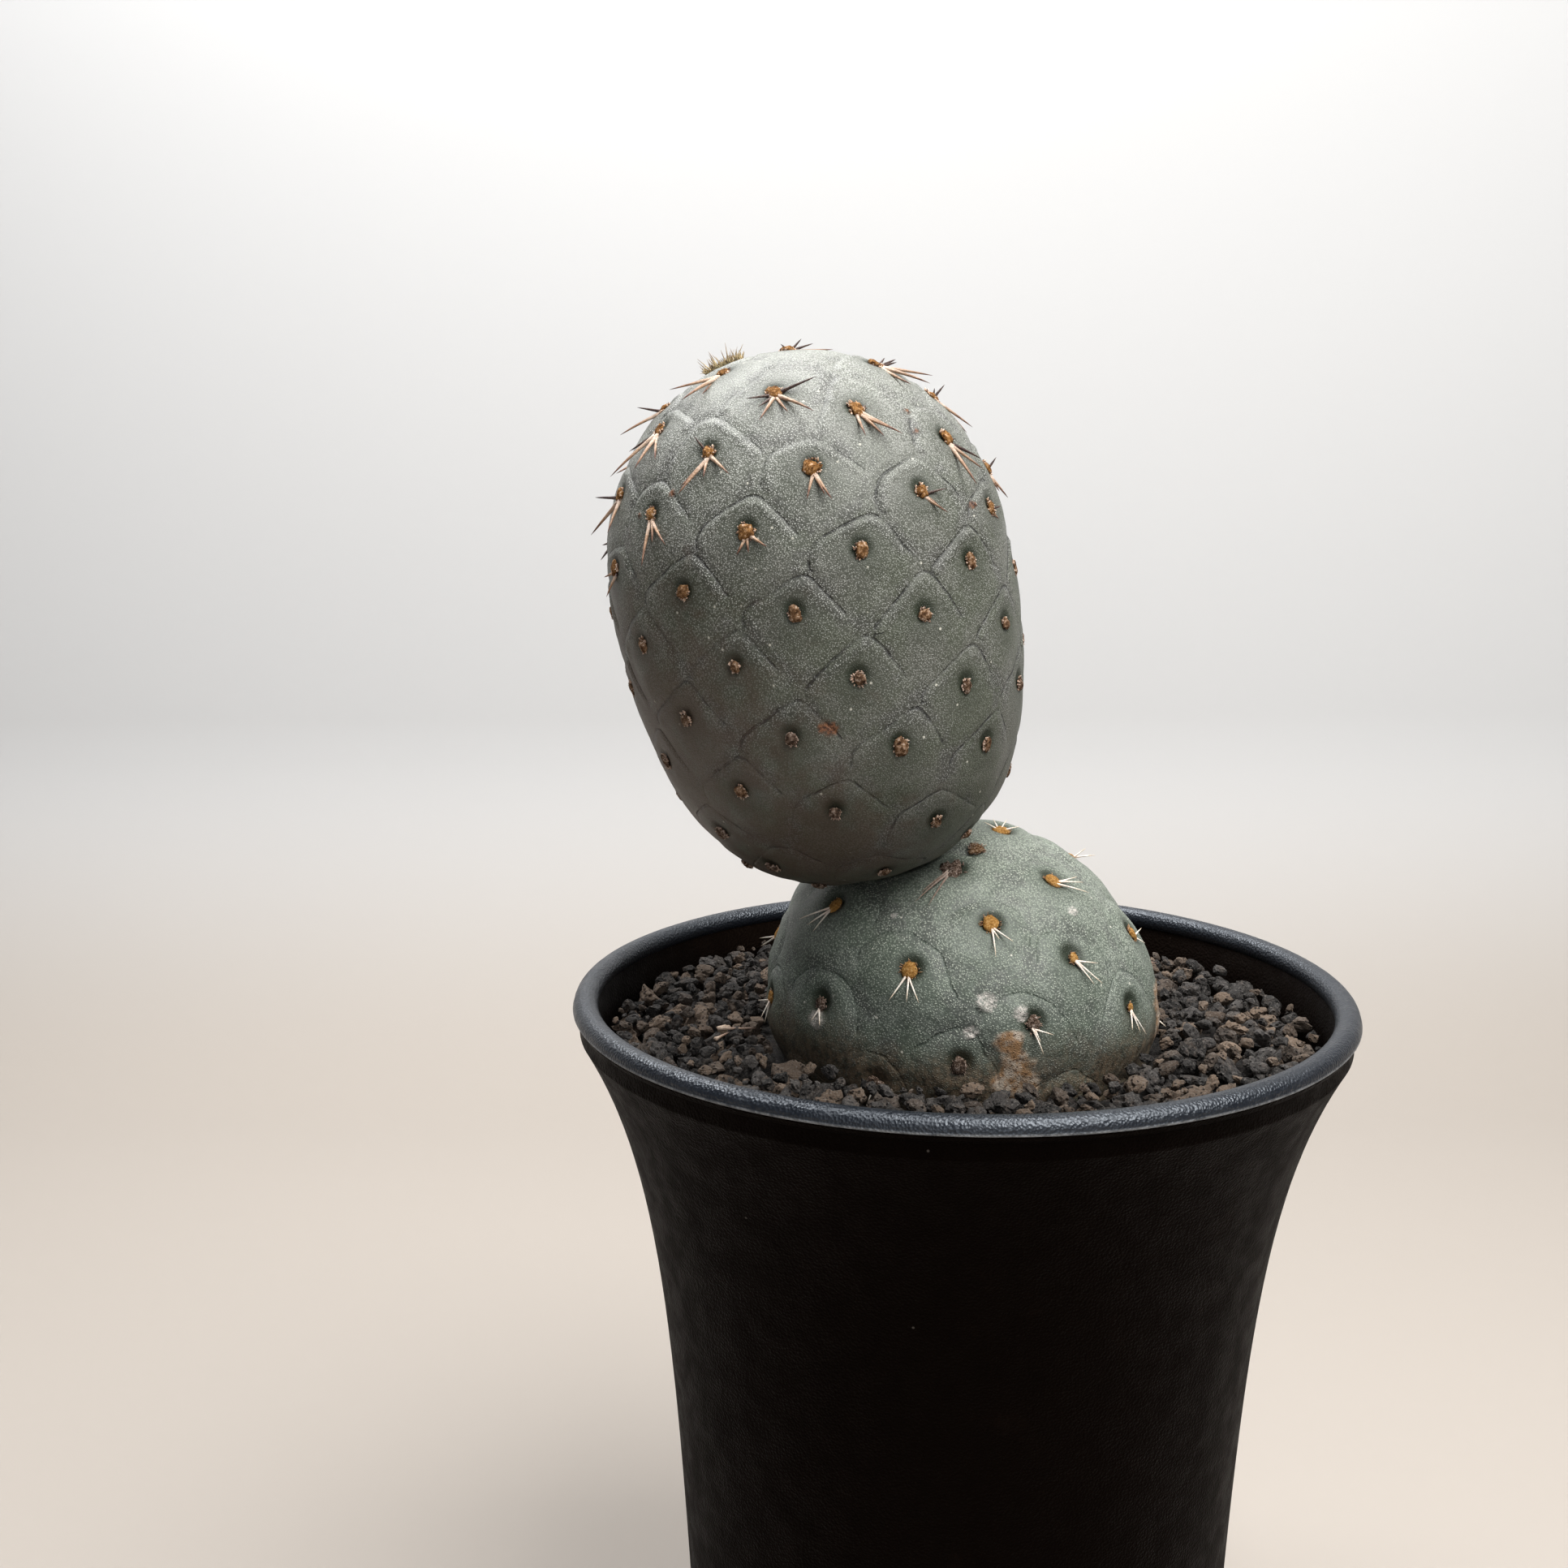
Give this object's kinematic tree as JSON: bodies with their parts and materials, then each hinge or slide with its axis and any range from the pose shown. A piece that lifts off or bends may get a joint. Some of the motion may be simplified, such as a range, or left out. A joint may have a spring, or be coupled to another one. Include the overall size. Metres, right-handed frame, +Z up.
{
  "type": "potted tephrocactus geometricus",
  "caption": "Two-segment geometric cactus with low diamond-shaped tubercles and short spines, standing in lava grit in a tall flared round pot.",
  "frame": {"origin": "centre of the pot's foot, on the surface it stands on", "axes": "+Z up the pot's axis; -Y is the front, the side the plant is seen from; the upper segment leans towards -X"},
  "size_m": [0.0904, 0.0904, 0.1739],
  "materials": {
    "pot_plastic": "satin black, finely pebbled, faint dust and scratches",
    "lava_grit": "porous rough lava grains, near black with brown ones among them",
    "stem_old": "waxy blue-green skin with a pale bloom and corky scars",
    "stem_young": "waxy grey-green skin with fine whitish frosting",
    "areole_wool": "felted orange-brown wool and glochids",
    "spine": "dry tan spine with a dark tip"
  },
  "bodies": {
    "root": {"pot": "pot_plastic", "soil": "lava_grit", "stem_segment_lower": "stem_old", "stem_segment_upper": "stem_young"}
  },
  "joints": []
}
